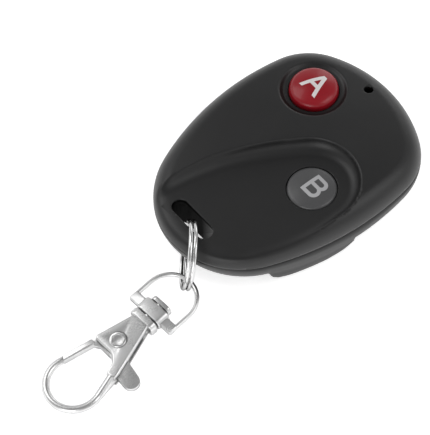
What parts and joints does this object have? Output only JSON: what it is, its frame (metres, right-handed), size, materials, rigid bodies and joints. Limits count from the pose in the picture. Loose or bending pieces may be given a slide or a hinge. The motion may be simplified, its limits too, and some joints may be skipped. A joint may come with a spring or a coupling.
{
  "type": "garage door remote",
  "caption": "Egg-shaped key-fob transmitter with round push buttons, on a split ring with a swivel trigger clasp",
  "frame": {"origin": "on the flat belly that the fob rests on, under the middle of the fob's outline", "axes": "+Z out of the button face, +Y towards the wide end with the indicator hole, +X to the right of the buttons seen from above"},
  "size_m": [0.0428, 0.0976, 0.0148],
  "materials": {
    "shell_black": "fine matt texture",
    "cap_red": "glossy",
    "cap_grey": "semi-gloss",
    "legend_white": "matt inlay",
    "legend_grey": "matt inlay",
    "board_green": "solder mask",
    "chip_black": "matt",
    "ceramic_tan": "matt",
    "switch_black": "matt",
    "lamp_red": "clear tinted",
    "resonator_can": "satin",
    "battery_steel": "satin",
    "sleeve_film": "plain film",
    "contact_metal": "nickel plated",
    "screw_steel": "dark zinc",
    "ring_steel": "polished",
    "clasp_nickel": "satin nickel",
    "spring_steel": "satin"
  },
  "bodies": {
    "fob": {"upper_shell": "shell_black", "lower_shell": "shell_black", "circuit_board": "board_green", "switch_a_base": "switch_black", "switch_a_cover": "contact_metal", "switch_b_base": "switch_black", "switch_b_cover": "contact_metal", "indicator_led": "lamp_red", "encoder_chip": "chip_black", "transistor": "chip_black", "choke_coil": "chip_black", "chip_resistors": "chip_black", "chip_capacitors": "ceramic_tan", "resonator": "resonator_can", "battery_can": "battery_steel", "battery_cap": "battery_steel", "battery_sleeve": "sleeve_film", "battery_spring": "spring_steel", "contact_plus": "contact_metal", "contact_minus": "contact_metal", "case_screws": "screw_steel"},
    "button_a": {"button_a": "cap_red", "legend_a": "legend_white"},
    "button_b": {"button_b": "cap_grey", "legend_b": "legend_grey"},
    "stem_a": {"switch_a_stem": "switch_black"},
    "stem_b": {"switch_b_stem": "switch_black"},
    "ring": {"split_ring": "ring_steel"},
    "bail": {"swivel_bail": "clasp_nickel"},
    "clasp": {"clasp_body": "clasp_nickel", "swivel_pin": "clasp_nickel", "gate_rivet": "clasp_nickel", "gate_spring": "spring_steel"},
    "gate": {"gate_lever": "clasp_nickel"}
  },
  "joints": [
    {"name": "button_a_press", "type": "slide", "parent": "fob", "child": "button_a", "axis": [0, 0, -1], "range_m": [0, 0.0005], "stiffness_N_per_m": 1200, "springref_m": -0.0002},
    {"name": "stem_a_press", "type": "slide", "parent": "fob", "child": "stem_a", "axis": [0, 0, -1], "range_m": [0, 0.0005]},
    {"name": "button_b_press", "type": "slide", "parent": "fob", "child": "button_b", "axis": [0, 0, -1], "range_m": [0, 0.0005], "stiffness_N_per_m": 1200, "springref_m": -0.0002},
    {"name": "stem_b_press", "type": "slide", "parent": "fob", "child": "stem_b", "axis": [0, 0, -1], "range_m": [0, 0.0005]},
    {"name": "ring_swing", "type": "hinge", "parent": "fob", "child": "ring", "pos_m": [-0.0015, -0.02345, 0.00747], "axis": [0, 0, 1], "range_deg": [-20, 15]},
    {"name": "bail_swing", "type": "hinge", "parent": "ring", "child": "bail", "pos_m": [0.00708, -0.03045, 0.00404], "axis": [-0.9969, -0.0785, 0], "range_deg": [0, 55]},
    {"name": "clasp_swivel", "type": "hinge", "parent": "bail", "child": "clasp", "pos_m": [0.00786, -0.04043, 0.0032], "axis": [-0.0782, 0.9934, 0.0837], "continuous": true},
    {"name": "gate_open", "type": "hinge", "parent": "clasp", "child": "gate", "pos_m": [0.00861, -0.04995, 0.0024], "axis": [0.0066, -0.0834, 0.9965], "range_deg": [0, 28], "stiffness_Nm_per_rad": 0.02, "springref_deg": -17.19, "deforming": ["gate_spring"]}
  ],
  "couplings": [
    {"joint": "stem_a_press", "follows": "button_a_press", "ratio": 1},
    {"joint": "stem_b_press", "follows": "button_b_press", "ratio": 1}
  ]
}
